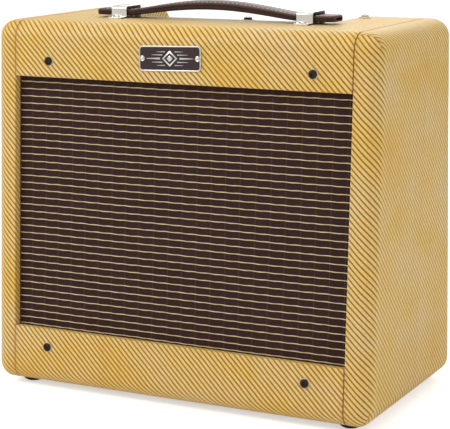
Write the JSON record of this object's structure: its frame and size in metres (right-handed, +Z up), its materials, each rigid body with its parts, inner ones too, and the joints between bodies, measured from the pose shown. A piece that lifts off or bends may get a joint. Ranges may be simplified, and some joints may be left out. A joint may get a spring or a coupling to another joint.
{
  "type": "guitar amplifier",
  "caption": "Small tweed covered valve guitar amplifier with a leaning cloth grille, leather strap handle, rear controls in a top recess and an open vented back.",
  "frame": {"origin": "on the floor, under the middle of the cabinet", "axes": "+Z up, front and grille face -Y, +X to the right seen from the front"},
  "size_m": [0.361, 0.2052, 0.34],
  "materials": {
    "tweed": "lacquered twill tweed, woven diagonal, satin sheen",
    "pine": "planed pine, unfinished",
    "plywood": "plywood, unfinished",
    "grille_cloth": "woven grille cloth, dark oxblood with a thin gold line",
    "chrome": "bright chrome plate",
    "nickel": "polished nickel plate",
    "steel_zinc": "zinc plated steel",
    "dark_steel": "blackened steel",
    "core_steel": "black lacquered laminations",
    "ferrite": "ground ferrite",
    "cone_paper": "pressed felted paper, dark grey",
    "gasket_fibre": "pressed fibre",
    "spider_cloth": "varnished pleated cloth",
    "coil_copper": "enamelled copper wire on a paper former",
    "coil_paper": "waxed paper wrap",
    "phenolic": "moulded black phenolic",
    "brown_phenolic": "moulded brown phenolic",
    "eyelet_board": "black vulcanised fibre board with eyelets",
    "capacitor": "yellow film sleeve",
    "valve_glass": "clear glass envelope",
    "fuse_glass": "clear glass with metal ends",
    "jewel_red": "faceted red glass",
    "leather": "dark brown moulded leather, stitched",
    "rubber": "black moulded rubber",
    "cord_rubber": "black rubber mains cord",
    "wire_cloth": "cloth covered hook-up wire",
    "badge": "brown enamelled plate with a bright rim",
    "volume_pot": "plated steel can, brass bushing"
  },
  "bodies": {
    "cabinet": {"side_board_left": "pine", "side_board_right": "pine", "top_board": "pine", "bottom_board": "pine", "front_panels": "plywood", "tweed_cover_left": "tweed", "tweed_cover_right": "tweed", "tweed_cover_top": "tweed", "tweed_cover_bottom": "tweed", "back_cleats": "pine", "baffle_board": "plywood", "grille_cloth": "grille_cloth", "baffle_screws": "dark_steel", "cup_washers": "nickel", "hex_nuts": "steel_zinc", "speaker_frame": "steel_zinc", "speaker_gasket": "gasket_fibre", "speaker_magnet": "ferrite", "speaker_plates": "steel_zinc", "speaker_surround": "cone_paper", "speaker_spider": "spider_cloth", "speaker_screws": "steel_zinc", "speaker_leads": "wire_cloth", "chassis": "chrome", "chassis_screws": "nickel", "volume_pot": "volume_pot", "input_jacks": "nickel", "panel_nuts": "nickel", "pilot_lamp_holder": "chrome", "pilot_jewel": "jewel_red", "pilot_bulb": "valve_glass", "fuse_holder": "phenolic", "power_transformer_core": "core_steel", "power_transformer_coil": "core_steel", "output_transformer_core": "core_steel", "output_transformer_coil": "coil_paper", "tube_sockets": "brown_phenolic", "rectifier_tube": "valve_glass", "power_tube": "valve_glass", "preamp_tube": "valve_glass", "circuit_board": "eyelet_board", "filter_capacitors": "capacitor", "upper_back_panel": "tweed", "lower_back_panel": "tweed", "back_panel_screws": "nickel", "feet": "rubber", "foot_screws": "steel_zinc", "handle_loops": "nickel", "handle_screws": "nickel", "badge_plate": "badge", "mains_cord": "cord_rubber", "strain_relief": "phenolic"},
    "volume_control": {"volume_knob": "phenolic", "volume_shaft": "steel_zinc"},
    "fuse_carrier": {"fuse_cap": "phenolic", "glass_fuse": "fuse_glass"},
    "cone_assembly": {"speaker_cone": "cone_paper", "dust_cap": "cone_paper", "voice_coil": "coil_copper"},
    "handle": {"handle_strap": "leather"}
  },
  "joints": [
    {"name": "volume_turn", "type": "hinge", "parent": "cabinet", "child": "volume_control", "pos_m": [0.0055, 0.0395, 0.315], "axis": [0, 0, -1], "range_deg": [-123, 177]},
    {"name": "fuse_cap_twist", "type": "hinge", "parent": "cabinet", "child": "fuse_carrier", "pos_m": [-0.072, 0.0395, 0.307], "axis": [0, 0, 1], "range_deg": [0, 60]},
    {"name": "cone_travel", "type": "slide", "parent": "cabinet", "child": "cone_assembly", "axis": [0, -0.9983, 0.0579], "range_m": [-0.002, 0.002], "stiffness_N_per_m": 2500},
    {"name": "handle_lift", "type": "slide", "parent": "cabinet", "child": "handle", "axis": [0, 0, 1], "range_m": [0, 0.001]}
  ]
}
